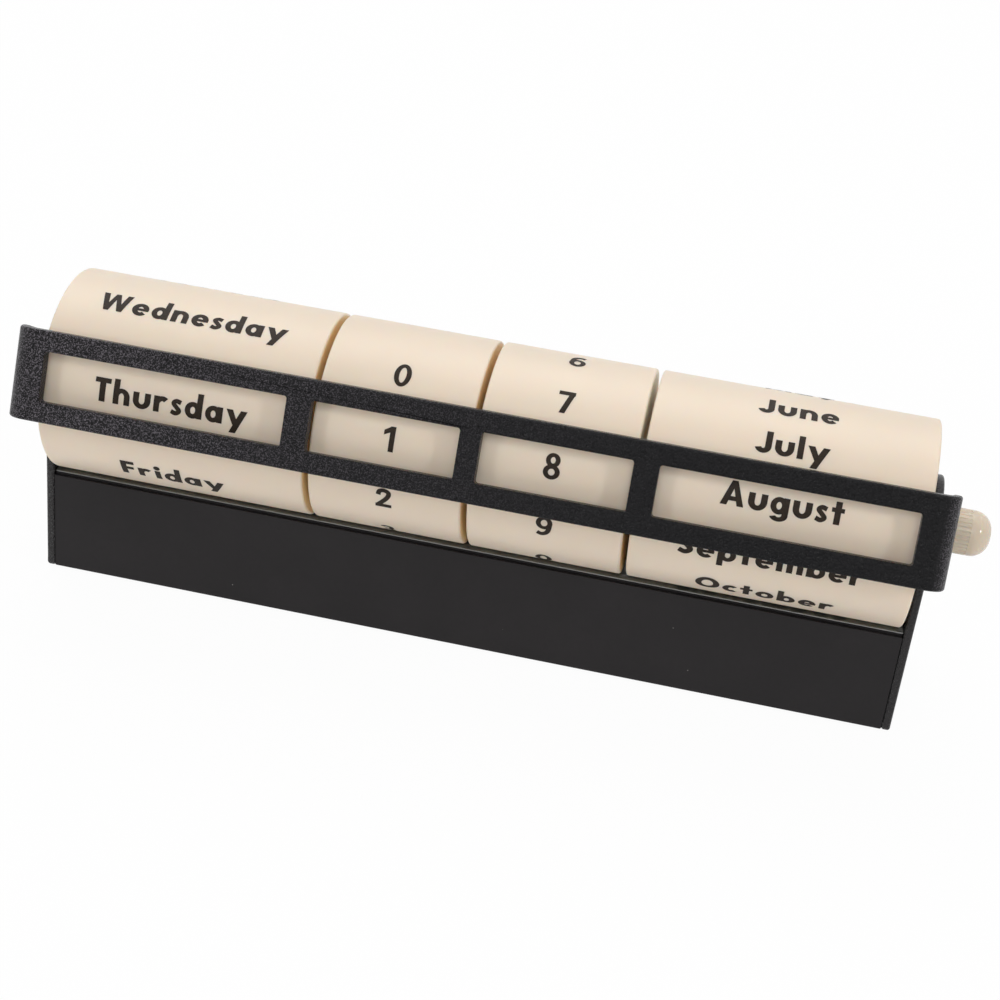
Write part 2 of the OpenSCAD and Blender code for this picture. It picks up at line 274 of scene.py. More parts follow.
# ---------------------------------------------------------------- material tools

def start_material(name):
    """A new node material with its main shader, as (material, tree, shader)."""
    material = bpy.data.materials.new(name)
    material.use_nodes = True
    tree = material.node_tree
    tree.nodes.clear()
    output = tree.nodes.new("ShaderNodeOutputMaterial")
    shader = tree.nodes.new("ShaderNodeBsdfPrincipled")
    tree.links.new(shader.outputs["BSDF"], output.inputs["Surface"])
    return material, tree, shader


def place(tree):
    """The coordinates fixed in the piece, in metres."""
    return tree.nodes.new("ShaderNodeTexCoord").outputs["Object"]


def split(tree, vector):
    """The x, y and z parts of a vector."""
    node = tree.nodes.new("ShaderNodeSeparateXYZ")
    tree.links.new(vector, node.inputs[0])
    return node.outputs


def facing(tree):
    """The x, y and z parts of the direction that a face is turned to."""
    return split(tree, tree.nodes.new("ShaderNodeNewGeometry").outputs["Normal"])


def stretched(tree, vector, scale):
    """The coordinates scaled by a different amount each way."""
    mapping = tree.nodes.new("ShaderNodeMapping")
    mapping.inputs["Scale"].default_value = scale
    tree.links.new(vector, mapping.inputs["Vector"])
    return mapping.outputs["Vector"]


def noise(tree, vector, size, detail=2.0, roughness=0.5):
    """Soft clouds of the given size in metres."""
    node = tree.nodes.new("ShaderNodeTexNoise")
    node.inputs["Scale"].default_value = 1 / size
    node.inputs["Detail"].default_value = detail
    node.inputs["Roughness"].default_value = roughness
    tree.links.new(vector, node.inputs["Vector"])
    return node.outputs[0]


def cells(tree, vector, size):
    """The distance from the middle of cells of the given size in metres."""
    node = tree.nodes.new("ShaderNodeTexVoronoi")
    node.inputs["Scale"].default_value = 1 / size
    tree.links.new(vector, node.inputs["Vector"])
    return node.outputs["Distance"]


def spread(tree, value, low, high, to_low, to_high):
    """A value taken from one range to another, and held at its ends."""
    node = tree.nodes.new("ShaderNodeMapRange")
    for name, number in (("From Min", low), ("From Max", high), ("To Min", to_low), ("To Max", to_high)):
        node.inputs[name].default_value = number
    tree.links.new(value, node.inputs["Value"])
    return node.outputs["Result"]


def added(tree, a, b, operation="ADD"):
    """The sum of two values, or what another operation makes of them."""
    node = tree.nodes.new("ShaderNodeMath")
    node.operation = operation
    for socket, value in zip(node.inputs, (a, b)):
        if isinstance(value, (int, float)):
            socket.default_value = value
        else:
            tree.links.new(value, socket)
    return node.outputs[0]


def tinted(tree, factor, first, second):
    """A colour between two, by factor."""
    node = tree.nodes.new("ShaderNodeMix")
    node.data_type = "RGBA"
    tree.links.new(factor, node.inputs[0])
    for socket, value in ((node.inputs[6], first), (node.inputs[7], second)):
        if isinstance(value, bpy.types.NodeSocket):
            tree.links.new(value, socket)
        else:
            socket.default_value = (*value, 1)
    return node.outputs[2]


def bumped(tree, height, depth):
    """A surface that stands depth metres proud where height is 1."""
    node = tree.nodes.new("ShaderNodeBump")
    node.inputs["Strength"].default_value = 1.0
    node.inputs["Distance"].default_value = depth
    tree.links.new(height, node.inputs["Height"])
    return node.outputs["Normal"]


def shade(colour, factor):
    """The colour made darker or lighter."""
    return tuple(min(1.0, c * factor) for c in colour)


def dress(node, material):
    """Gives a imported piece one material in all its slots."""
    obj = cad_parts[node]
    if not obj.data.materials:
        obj.data.materials.append(material)
    for slot in obj.material_slots:
        slot.material = material
    return obj


def start_group(name):
    """A new geometry node group with one geometry in and out, as (group, start, end)."""
    group = bpy.data.node_groups.new(name, "GeometryNodeTree")
    group.interface.new_socket("Geometry", in_out="INPUT", socket_type="NodeSocketGeometry")
    group.interface.new_socket("Geometry", in_out="OUTPUT", socket_type="NodeSocketGeometry")
    return group, group.nodes.new("NodeGroupInput"), group.nodes.new("NodeGroupOutput")


def plain_normals():
    """A node group that drops the imported normals and shades every face smooth."""
    group = bpy.data.node_groups.get("plain_normals")
    if group:
        return group
    group, start, end = start_group("plain_normals")
    drop = group.nodes.new("GeometryNodeRemoveAttribute")
    drop.inputs["Name"].default_value = "custom_normal"
    smooth = group.nodes.new("GeometryNodeSetShadeSmooth")
    edges = group.nodes.new("GeometryNodeSetShadeSmooth")
    edges.domain = "EDGE"
    group.links.new(start.outputs[0], drop.inputs["Geometry"])
    group.links.new(drop.outputs["Geometry"], smooth.inputs["Geometry"])
    group.links.new(smooth.outputs["Geometry"], edges.inputs["Geometry"])
    group.links.new(edges.outputs["Geometry"], end.inputs[0])
    return group


def outline_weights(holes):
    """A node group that marks a plate's sharp outline for rounding, but not the rims of its holes."""
    group, start, end = start_group("outline_weights")
    flat = group.nodes.new("ShaderNodeVectorMath")
    flat.operation = "MULTIPLY"
    flat.inputs[1].default_value = (0, 1, 1)
    group.links.new(group.nodes.new("GeometryNodeInputPosition").outputs[0], flat.inputs[0])
    angle = group.nodes.new("GeometryNodeInputMeshEdgeAngle").outputs[0]
    weight = added(group, angle, SHARP_ANGLE, "GREATER_THAN")
    for y, z in holes:
        away = group.nodes.new("ShaderNodeVectorMath")
        away.operation = "DISTANCE"
        away.inputs[1].default_value = (0, y, z)
        group.links.new(flat.outputs[0], away.inputs[0])
        clear = added(group, away.outputs["Value"], HOLE_CLEARANCE, "GREATER_THAN")
        weight = added(group, weight, clear, "MULTIPLY")
    store = group.nodes.new("GeometryNodeStoreNamedAttribute")
    store.data_type = "FLOAT"
    store.domain = "EDGE"
    store.inputs["Name"].default_value = "bevel_weight_edge"
    group.links.new(start.outputs[0], store.inputs["Geometry"])
    group.links.new(weight, store.inputs["Value"])
    group.links.new(store.outputs["Geometry"], end.inputs[0])
    return group


def round_edges(obj, width, steps=PIECE_STEPS, weights=None):
    """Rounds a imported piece's sharp edges with modifiers, and keeps its flat faces flat.

    With weights, a node group from outline_weights, only the edges that it marks are rounded.
    """
    weld = obj.modifiers.new("join_corners", "WELD")
    weld.merge_threshold = PLATE_CORNER_JOIN if weights else CORNER_JOIN
    normals = obj.modifiers.new("plain_normals", "NODES")
    normals.node_group = plain_normals()
    if weights:
        whole = obj.modifiers.new("whole_faces", "DECIMATE")
        whole.decimate_type = "DISSOLVE"
        whole.angle_limit = ONE_FACE_ANGLE
        marks = obj.modifiers.new("outline_weights", "NODES")
        marks.node_group = weights
    bevel = obj.modifiers.new("rounding", "BEVEL")
    bevel.width = width
    bevel.segments = steps
    bevel.limit_method = "WEIGHT" if weights else "ANGLE"
    bevel.angle_limit = SHARP_ANGLE
    bevel.use_clamp_overlap = False
    bevel.miter_outer = "MITER_ARC"
    slivers = obj.modifiers.new("join_slivers", "WELD")
    slivers.merge_threshold = PLATE_SLIVER_JOIN if weights else SLIVER_JOIN
    weighted = obj.modifiers.new("flat_faces", "WEIGHTED_NORMAL")
    weighted.keep_sharp = False
    weighted.weight = 100


# ---------------------------------------------------------------- letter shapes
# Every shape is drawn from short four-sided blocks, in units of a capital's height.

def slab(x0, x1, y0, y1):
    """One upright rectangle."""
    return [[(x0, y0), (x1, y0), (x1, y1), (x0, y1)]]


def blade(*points):
    """One block with the given corners."""
    return [list(points)]


def bow(cx, cy, rx, ry, wx, wy, start=0, end=360):
    """Part of an elliptical ring, from start to end degrees."""
    steps = max(3, math.ceil((end - start) / BOW_STEP))
    blocks = []
    for i in range(steps):
        a = math.radians(start + (end - start) * i / steps)
        b = math.radians(start + (end - start) * (i + 1) / steps)
        blocks.append([
            (cx + rx * math.cos(a), cy + ry * math.sin(a)),
            (cx + rx * math.cos(b), cy + ry * math.sin(b)),
            (cx + (rx - wx) * math.cos(b), cy + (ry - wy) * math.sin(b)),
            (cx + (rx - wx) * math.cos(a), cy + (ry - wy) * math.sin(a)),
        ])
    return blocks


def stroke(points, width):
    """A line of even width on a smooth curve through the points."""
    path = []
    for i in range(len(points) - 1):
        p0 = Vector(points[max(i - 1, 0)])
        p1 = Vector(points[i])
        p2 = Vector(points[i + 1])
        p3 = Vector(points[min(i + 2, len(points) - 1)])
        for k in range(STROKE_STEPS):
            t = k / STROKE_STEPS
            path.append(0.5 * (2 * p1 + (p2 - p0) * t + (2 * p0 - 5 * p1 + 4 * p2 - p3) * t * t
                               + (3 * p1 - p0 - 3 * p2 + p3) * t ** 3))
    path.append(Vector(points[-1]))
    sides = []
    for i, p in enumerate(path):
        along = (path[min(i + 1, len(path) - 1)] - path[max(i - 1, 0)]).normalized()
        across = Vector((-along.y, along.x)) * width / 2
        sides.append((p + across, p - across))
    return [[tuple(a), tuple(c), tuple(d), tuple(b)] for (a, b), (c, d) in zip(sides, sides[1:])]


def turned(blocks, cx, cy):
    """The same shape turned half way round a point."""
    return [[(2 * cx - x, 2 * cy - y) for x, y in block] for block in blocks]


def letter_shapes():
    """The blocks of every letter and figure on the drums."""
    bowl = bow(0.34, 0.335, 0.34, 0.35, 0.235, 0.20)
    right_bowl = bow(0.40, 0.335, 0.34, 0.35, 0.235, 0.20)
    stem = slab(0, 0.25, 0, 0.67)
    tall_stem = slab(0, 0.25, 0, 1.05)
    arch = bow(0.36, 0.33, 0.36, 0.355, 0.25, 0.20, 0, 180) + slab(0.47, 0.72, 0, 0.33)
    six = bow(0.33, 0.31, 0.33, 0.325, 0.20, 0.165) + stroke(
        [(0.58, 0.83), (0.38, 0.90), (0.17, 0.73), (0.10, 0.33)], 0.195)
    snake = [(0.43, 0.54), (0.24, 0.59), (0.11, 0.49), (0.24, 0.345),
             (0.38, 0.19), (0.23, 0.08), (0.03, 0.14)]
    return {
        "a": bowl + slab(0.49, 0.74, 0, 0.67),
        "b": right_bowl + tall_stem,
        "c": bow(0.35, 0.335, 0.35, 0.35, 0.24, 0.20, 48, 312),
        "d": bowl + slab(0.49, 0.74, 0, 1.05),
        "e": bow(0.36, 0.335, 0.36, 0.35, 0.24, 0.19, 0, 318) + slab(0.1, 0.71, 0.26, 0.40),
        "g": bowl + slab(0.49, 0.74, -0.04, 0.67) + bow(0.37, -0.04, 0.37, 0.26, 0.25, 0.18, 200, 360),
        "h": tall_stem + arch,
        "i": stem + bow(0.125, 0.87, 0.145, 0.145, 0.145, 0.145),
        "l": tall_stem,
        "m": stem + bow(0.33, 0.36, 0.33, 0.325, 0.25, 0.19, 0, 180) + slab(0.41, 0.66, 0, 0.36)
             + bow(0.74, 0.36, 0.33, 0.325, 0.25, 0.19, 0, 180) + slab(0.82, 1.07, 0, 0.36),
        "n": stem + arch,
        "o": bow(0.37, 0.335, 0.37, 0.35, 0.24, 0.20),
        "p": right_bowl + slab(0, 0.25, -0.30, 0.67),
        "r": stem + bow(0.37, 0.31, 0.37, 0.375, 0.25, 0.21, 52, 180),
        "s": stroke(snake, 0.19),
        "t": slab(0.13, 0.38, 0, 0.92) + slab(0, 0.51, 0.49, 0.67),
        "u": slab(0, 0.26, 0.34, 0.67) + bow(0.38, 0.34, 0.38, 0.355, 0.26, 0.20, 180, 360)
             + slab(0.50, 0.76, 0.34, 0.67),
        "v": blade((0, 0.67), (0.27, 0), (0.37, 0.30), (0.26, 0.67))
             + blade((0.51, 0), (0.79, 0.67), (0.53, 0.67), (0.37, 0.20))
             + blade((0.27, 0), (0.51, 0), (0.44, 0.32), (0.34, 0.32)),
        "y": blade((0.62, 0.67), (0.18, -0.30), (0.46, -0.30), (0.90, 0.67))
             + blade((0, 0.67), (0.33, 0.02), (0.50, 0.20), (0.28, 0.67)),
        "A": blade((0, 0), (0.27, 0), (0.56, 0.95), (0.48, 1), (0.36, 1))
             + blade((0.95, 0), (0.59, 1), (0.48, 1), (0.40, 0.95), (0.68, 0)) + slab(0.2, 0.73, 0.19, 0.37),
        "D": slab(0, 0.26, 0, 1) + bow(0.30, 0.5, 0.52, 0.5, 0.26, 0.21, -90, 90) + slab(0, 0.30, 0, 0.21)
             + slab(0, 0.30, 0.79, 1),
        "F": slab(0, 0.26, 0, 1) + slab(0, 0.61, 0.79, 1) + slab(0, 0.56, 0.41, 0.61),
        "J": slab(0.39, 0.65, 0.27, 1) + bow(0.32, 0.27, 0.33, 0.29, 0.26, 0.21, 195, 360),
        "M": blade((0, 0), (0.24, 0), (0.38, 1), (0.16, 1))
             + blade((0.16, 1), (0.38, 1), (0.64, 0.05), (0.46, 0.05))
             + blade((0.46, 0.05), (0.64, 0.05), (0.94, 1), (0.72, 1))
             + blade((0.86, 0), (1.10, 0), (0.94, 1), (0.72, 1)),
        "N": slab(0, 0.24, 0, 1) + slab(0.62, 0.86, 0, 1) + blade((0, 1), (0.60, 0), (0.86, 0), (0.26, 1)),
        "O": bow(0.5, 0.5, 0.5, 0.52, 0.26, 0.22),
        "S": stroke([(x * 1.34, y * 1.50) for x, y in snake], 0.235),
        "T": slab(0, 0.68, 0.79, 1) + slab(0.21, 0.47, 0, 1),
        "W": blade((0, 1), (0.25, 0), (0.47, 0), (0.25, 1))
             + blade((0.25, 0), (0.47, 0), (0.74, 1), (0.54, 1))
             + blade((0.82, 0), (1.04, 0), (0.74, 1), (0.54, 1))
             + blade((0.82, 0), (1.04, 0), (1.30, 1), (1.05, 1)),
        "0": bow(0.34, 0.5, 0.34, 0.515, 0.20, 0.17),
        "1": slab(0.24, 0.45, 0, 1) + blade((0, 0.64), (0.27, 0.77), (0.27, 1), (0, 0.83)),
        "2": stroke([(0.12, 0.67), (0.17, 0.85), (0.34, 0.915), (0.52, 0.84), (0.54, 0.69),
                     (0.43, 0.48), (0.27, 0.29), (0.12, 0.12)], 0.195) + slab(0.01, 0.66, 0, 0.18),
        "3": bow(0.32, 0.735, 0.29, 0.28, 0.195, 0.16, -60, 155)
             + bow(0.32, 0.28, 0.32, 0.295, 0.20, 0.16, -155, 80)
             + slab(0.22, 0.35, 0.445, 0.59),
        "4": blade((0, 0.35), (0.21, 0.35), (0.55, 1), (0.34, 1)) + slab(0, 0.68, 0.19, 0.36)
             + slab(0.34, 0.55, 0, 1),
        "5": slab(0.09, 0.60, 0.83, 1) + slab(0.07, 0.26, 0.46, 1)
             + bow(0.31, 0.325, 0.33, 0.34, 0.20, 0.165, -150, 140),
        "6": six,
        "7": slab(0, 0.65, 0.82, 1) + blade((0.14, 0), (0.37, 0), (0.65, 0.9), (0.43, 0.9)),
        "8": bow(0.33, 0.735, 0.285, 0.28, 0.19, 0.155) + bow(0.33, 0.275, 0.33, 0.29, 0.20, 0.16),
        "9": turned(six, 0.33, 0.5),
    }


def holds(block, x, y):
    """Whether a point lies inside a block."""
    inside = False
    for (ax, ay), (bx, by) in zip(block, block[1:] + block[:1]):
        if (ay > y) != (by > y) and x < ax + (bx - ax) * (y - ay) / (by - ay):
            inside = not inside
    return inside


def one_outline(blocks):
    """Triangles that cover overlapping blocks once, as (points, triangles)."""
    corners = []
    edges = []
    for block in blocks:
        first = len(corners)
        corners += [Vector(c) for c in block]
        edges += [(first + i, first + (i + 1) % len(block)) for i in range(len(block))]
    points, _, triangles, _, _, _ = delaunay_2d_cdt(corners, edges, [], 0, SAME_POINT)
    covered = []
    for triangle in triangles:
        middle = sum((points[i] for i in triangle), Vector((0, 0))) / 3
        if any(holds(block, middle.x, middle.y) for block in blocks):
            covered.append(triangle)
    return points, covered


def set_word(word, letters, gap):
    """The points and triangles of a whole word, centred across, in capital heights."""
    points = []
    triangles = []
    edge = 0.0
    for letter in word:
        outline, covered = letters[letter]
        used = {i for triangle in covered for i in triangle}
        left = min(outline[i].x for i in used)
        right = max(outline[i].x for i in used)
        triangles += [[i + len(points) for i in triangle] for triangle in covered]
        points += [Vector((p.x - left + edge, p.y)) for p in outline]
        edge += right - left + gap
    middle = Vector(((edge - gap) / 2, 0))
    return [p - middle for p in points], triangles


def wrap_word(bm, word, height, foot, centre_x, radius):
    """Adds one word to bm, cut into bands and bent round the drum, its foot at the angle foot."""
    points, triangles = word
    flat = bmesh.new()
    corners = [flat.verts.new((p.x * height, p.y * height, 0)) for p in points]
    for triangle in triangles:
        flat.faces.new([corners[i] for i in triangle])
    loose = [v for v in flat.verts if not v.link_faces]
    bmesh.ops.delete(flat, geom=loose, context="VERTS")
    low = min(v.co.y for v in flat.verts)
    high = max(v.co.y for v in flat.verts)
    bands = math.ceil((high - low) / BAND_HEIGHT)
    for i in range(1, bands):
        level = low + (high - low) * i / bands
        bmesh.ops.bisect_plane(flat, geom=flat.verts[:] + flat.edges[:] + flat.faces[:],
                               plane_co=(0, level, 0), plane_no=(0, 1, 0), dist=ON_CUT)
    bmesh.ops.triangulate(flat, faces=flat.faces[:])
    copies = {}
    for v in flat.verts:
        angle = foot + v.co.y / radius
        copies[v] = bm.verts.new((
            centre_x + v.co.x, -radius * math.cos(angle), AXLE_HEIGHT + radius * math.sin(angle)))
    for face in flat.faces:
        bm.faces.new([copies[v] for v in face.verts])
    flat.free()


def print_drum(body, rows, read, read_angle, height, material):
    """Prints evenly spaced rows round one drum, with the row called read behind its window."""
    look = bpy.context.scene.calendar_legends
    shapes = letter_shapes()
    letters = {letter: one_outline(shapes[letter]) for letter in sorted(set("".join(rows)))}
    low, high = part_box(body + "_drum")
    centre_x = (low.x + high.x) / 2
    step = 2 * math.pi / len(rows)
    read_row = rows.index(read)
    bm = bmesh.new()
    for i, row in enumerate(rows):
        if not row:
            continue
        word = set_word(row, letters, look.letter_gap)
        foot = read_angle - (i - read_row) * step + math.radians(ROW_SHIFT.get(row, 0))
        wrap_word(bm, word, height, foot, centre_x, DRUM_RADIUS + look.lift)
    for face in bm.faces:
        face.smooth = True
    name = body + "_legend"
    mesh = bpy.data.meshes.new(name)
    bm.to_mesh(mesh)
    bm.free()
    mesh.materials.append(material)
    piece = bpy.data.objects.new(name, mesh)
    bpy.context.scene.collection.objects.link(piece)
    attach(piece, body)


# ---------------------------------------------------------------- finishes

def in_gap(tree, where):
    """Two masks for painted light: the end faces that two drums turn to each other, and the top of the open
    gap.
    """
    at = split(tree, where)
    up = added(tree, at["Z"], AXLE_HEIGHT, "SUBTRACT")
    square = added(tree, added(tree, up, up, "MULTIPLY"), added(tree, at["Y"], at["Y"], "MULTIPLY"))
    radius = added(tree, square, 0.5, "POWER")
    deepest, shallowest = PAINTED_GLOW_DEPTH
    deep = spread(tree, radius, DRUM_RADIUS - deepest, DRUM_RADIUS - shallowest, 1, 0)
    inner = spread(tree, added(tree, at["X"], 0, "ABSOLUTE"), *INNER_ENDS, 1, 0)
    beside = spread(tree, at["X"], *OPEN_GAP_SIDE, 0, 1)
    open_gap = added(tree, beside, spread(tree, up, *OPEN_GAP_HEIGHT, 0, 1), "MULTIPLY")
    return added(tree, deep, inner, "MULTIPLY"), open_gap


def cream_plastic(name, look, colour, roughness):
    """Glossy moulded cream plastic with a faint ripple, slightly uneven tone and painted light between the
    drums.
    """
    material, tree, shader = start_material(name)
    where = place(tree)
    tone = spread(tree, noise(tree, where, size=0.03, detail=3), 0.3, 0.7, 0, 1)
    cream = tinted(tree, tone, shade(colour, 0.975), shade(colour, 1.02))
    # Painted light: a warm glow on the ends that face another drum, paler at the top of the open gap
    gap, open_gap = in_gap(tree, where)
    glow = tinted(tree, open_gap, look.painted_gap_light, look.painted_open_gap_light)
    tree.links.new(tinted(tree, gap, cream, glow), shader.inputs["Base Color"])
    patches = noise(tree, where, size=0.006, detail=4)
    dull = spread(tree, patches, 0.25, 0.75, roughness - 0.04, roughness + 0.05)
    tree.links.new(dull, shader.inputs["Roughness"])
    ripple = noise(tree, where, size=look.ripple_size)
    tree.links.new(bumped(tree, ripple, look.ripple_depth), shader.inputs["Normal"])
    shader.inputs["IOR"].default_value = 1.49
    shader.inputs["Specular IOR Level"].default_value = 0.3
    shader.inputs["Subsurface Weight"].default_value = 0.4
    shader.inputs["Subsurface Radius"].default_value = (1.0, 0.55, 0.28)
    shader.inputs["Subsurface Scale"].default_value = 0.003
    return material


def printing_ink(look):
    """Screen-printed ink, a little uneven in cover."""
    material, tree, shader = start_material("printing_ink")
    where = place(tree)
    cover = spread(tree, noise(tree, where, size=0.0006, detail=3), 0.35, 0.75, 0, 1)
    tree.links.new(tinted(tree, cover, look.ink, shade(look.ink, 2.5)), shader.inputs["Base Color"])
    dull = spread(tree, noise(tree, where, size=0.0004), 0.3, 0.7, 0.42, 0.54)
    tree.links.new(dull, shader.inputs["Roughness"])
    shader.inputs["Specular IOR Level"].default_value = 0.17
    return material


def painted_glints(tree, where):
    """How strong the painted glints on the grain are: most at the left, on the bends and on the windows' end
    walls.
    """
    along = spread(tree, split(tree, where)["X"], GLINTS_FROM, GLINTS_TO, 1.0, 0.03)
    turn = added(tree, facing(tree)["X"], 0, "ABSOLUTE")
    bend = spread(tree, turn, 0.35, 0.8, 0, 0.9)
    # Painted glints, strongest at the left and on faces turned sideways, where the side lights catch the
    # grain
    worn = added(tree, added(tree, along, 1.8, "POWER"), bend, "MAXIMUM")
    return added(tree, worn, spread(tree, turn, 0.9, 1.0, 1, 0.35), "MULTIPLY")


def leather_grain(name, look, colour, tips, reflects):
    """Black plastic with a leather grain; the tips of its pebbles are painted pale as glints where the side
    lights catch them.
    """
    material, tree, shader = start_material(name)
    where = place(tree)
    wander = noise(tree, where, size=look.leather_size * 1.6)
    offset = tree.nodes.new("ShaderNodeVectorMath")
    offset.operation = "SCALE"
    offset.inputs["Scale"].default_value = look.leather_size * 1.2
    tree.links.new(wander, offset.inputs[0])
    shifted = tree.nodes.new("ShaderNodeVectorMath")
    tree.links.new(where, shifted.inputs[0])
    tree.links.new(offset.outputs["Vector"], shifted.inputs[1])
    pebbles = cells(tree, shifted.outputs["Vector"], look.leather_size)
    dome = added(tree, 1, added(tree, pebbles, pebbles, "MULTIPLY"), "SUBTRACT")
    fine = noise(tree, where, size=look.leather_size * 0.5)
    height = added(tree, dome, added(tree, fine, 0.35, "MULTIPLY"))
    tree.links.new(bumped(tree, height, look.leather_depth), shader.inputs["Normal"])
    black = tinted(tree, dome, shade(colour, 0.4), shade(colour, 1.4))
    tip = spread(tree, noise(tree, where, size=look.leather_size * 0.6), 0.50, 0.62, 0, 1)
    # Painted glints: paler pebble tips, mostly at the left and on faces turned sideways
    pale = added(tree, tip, painted_glints(tree, where), "MULTIPLY")
    tree.links.new(tinted(tree, pale, black, tips), shader.inputs["Base Color"])
    dull = spread(tree, noise(tree, where, size=0.004, detail=3), 0.3, 0.7, 0.18, 0.26)
    tree.links.new(dull, shader.inputs["Roughness"])
    shader.inputs["Specular IOR Level"].default_value = reflects
    return material


def matte_grain(name, look, roughness):
    """Black plastic with a fine matte grain, a few specks of dust and slightly worn tone."""
    material, tree, shader = start_material(name)
    where = place(tree)
    grain = noise(tree, where, size=look.matte_size, detail=3, roughness=0.6)
    tree.links.new(bumped(tree, grain, look.matte_depth), shader.inputs["Normal"])
    cloud = spread(tree, noise(tree, where, size=0.02, detail=3), 0.3, 0.7, 0, 1)
    black = tinted(tree, cloud, shade(look.panel_black, 0.88), shade(look.panel_black, 1.15))
    specks = spread(tree, cells(tree, where, size=0.006), 0.018, 0.026, 1, 0)
    chosen = spread(tree, noise(tree, where, size=0.011, detail=1), 0.56, 0.60, 0, 1)
    dust = added(tree, specks, chosen, "MULTIPLY")
    tree.links.new(tinted(tree, dust, black, look.dust), shader.inputs["Base Color"])
    patches = noise(tree, where, size=0.0012, detail=3)
    dull = spread(tree, patches, 0.3, 0.7, roughness - 0.05, roughness + 0.05)
    tree.links.new(dull, shader.inputs["Roughness"])
    shader.inputs["Specular IOR Level"].default_value = 0.2
    return material


def polished_black(look):
    """Polished black plastic; its faces turned up carry a painted reflection of the cream drums, uneven in
    patches.
    """
    material, tree, shader = start_material("polished_black_plastic")
    where = place(tree)
    haze = spread(tree, noise(tree, where, size=0.003, detail=4), 0.45, 0.8, 0, 1)
    painted_reflection = tinted(tree, haze, look.painted_trough_reflection, shade(look.painted_trough_reflection, 1.6))
    upward = spread(tree, facing(tree)["Z"], 0.5, 0.8, 0, 1)
    # Painted reflection: faces turned up are grey-green like the drums they reflect, the rest near black
    tree.links.new(tinted(tree, upward, (0.006, 0.006, 0.006), painted_reflection), shader.inputs["Base Color"])
    tree.links.new(spread(tree, haze, 0, 1, 0.34, 0.42), shader.inputs["Roughness"])
    shader.inputs["IOR"].default_value = 1.8
    shader.inputs["Specular IOR Level"].default_value = 1.0
    return material


def turned_metal(name, colour, roughness):
    """Metal with fine turning marks round the axle."""
    material, tree, shader = start_material(name)
    where = place(tree)
    marks = noise(tree, stretched(tree, where, (1, 0.05, 0.05)), size=0.00012)
    tree.links.new(bumped(tree, marks, depth=0.000002), shader.inputs["Normal"])
    tone = spread(tree, noise(tree, where, size=0.002, detail=3), 0.3, 0.7, 0, 1)
    tree.links.new(tinted(tree, tone, shade(colour, 0.9), shade(colour, 1.05)), shader.inputs["Base Color"])
    dull = spread(tree, marks, 0.3, 0.7, roughness - 0.06, roughness + 0.08)
    tree.links.new(dull, shader.inputs["Roughness"])
    shader.inputs["Metallic"].default_value = 1.0
    return material


def natural_nylon(look):
    """Milky nylon that lets a little light in."""
    material, tree, shader = start_material("natural_nylon")
    where = place(tree)
    tone = spread(tree, noise(tree, where, size=0.002, detail=3), 0.3, 0.7, 0, 1)
    milky = tinted(tree, tone, shade(look.nylon, 0.95), shade(look.nylon, 1.03))
    tree.links.new(milky, shader.inputs["Base Color"])
    tree.links.new(spread(tree, tone, 0, 1, 0.42, 0.52), shader.inputs["Roughness"])
    ripple = noise(tree, where, size=0.0004)
    tree.links.new(bumped(tree, ripple, depth=0.000004), shader.inputs["Normal"])
    shader.inputs["Subsurface Weight"].default_value = 0.15
    shader.inputs["Subsurface Radius"].default_value = (1.0, 0.9, 0.75)
    shader.inputs["Subsurface Scale"].default_value = 0.001
    return material


def black_rubber():
    """Soft black rubber sheet with a close grain."""
    material, tree, shader = start_material("black_rubber_sheet")
    where = place(tree)
    grain = noise(tree, where, size=0.0008, detail=4, roughness=0.65)
    tree.links.new(bumped(tree, grain, depth=0.00005), shader.inputs["Normal"])
    tone = spread(tree, grain, 0.3, 0.7, 0, 1)
    black = tinted(tree, tone, (0.016, 0.016, 0.016), (0.028, 0.028, 0.027))
    tree.links.new(black, shader.inputs["Base Color"])
    tree.links.new(spread(tree, grain, 0.3, 0.7, 0.78, 0.9), shader.inputs["Roughness"])
    return material


def black_screw():
    """Blackened steel, a little bare where it is worn."""
    material, tree, shader = start_material("blackened_steel")
    where = place(tree)
    worn = spread(tree, noise(tree, where, size=0.0007, detail=4), 0.5, 0.75, 0, 1)
    tree.links.new(tinted(tree, worn, (0.03, 0.03, 0.032), (0.10, 0.10, 0.10)), shader.inputs["Base Color"])
    tree.links.new(spread(tree, worn, 0, 1, 0.32, 0.5), shader.inputs["Roughness"])
    grain = noise(tree, where, size=0.0003)
    tree.links.new(bumped(tree, grain, depth=0.000006), shader.inputs["Normal"])
    shader.inputs["Metallic"].default_value = 0.8
    return material


# ---------------------------------------------------------------- operators

class CALENDAR_OT_dress_drums(Operator):
    """Give the four drums and their caps the cream plastic"""
    bl_idname = "calendar.dress_drums"
    bl_label = "Dress Drums"

    def execute(self, context):
        look = context.scene.calendar_drums
        cream = cream_plastic("cream_drum_plastic", look, tuple(look.cream), look.roughness)
        for drum in ("weekday", "tens", "units", "month"):
            dress(drum + "_drum", cream)
            dress(drum + "_cap", cream)
        return {"FINISHED"}


class CALENDAR_OT_print_legends(Operator):
    """Print the weekdays, figures and months round the drums"""
    bl_idname = "calendar.print_legends"
    bl_label = "Print Legends"

    def execute(self, context):
        look = context.scene.calendar_legends
        ink = printing_ink(look)
        words = look.word_height
        figures = look.figure_height
        print_drum("weekday", WEEKDAYS, "Thursday", look.weekday_angle, words, ink)
        print_drum("tens", FIRST_FIGURES, "1", look.tens_angle, figures, ink)
        print_drum("units", SECOND_FIGURES, "8", look.units_angle, figures, ink)
        print_drum("month", MONTHS, "August", look.month_angle, words, ink)
        return {"FINISHED"}


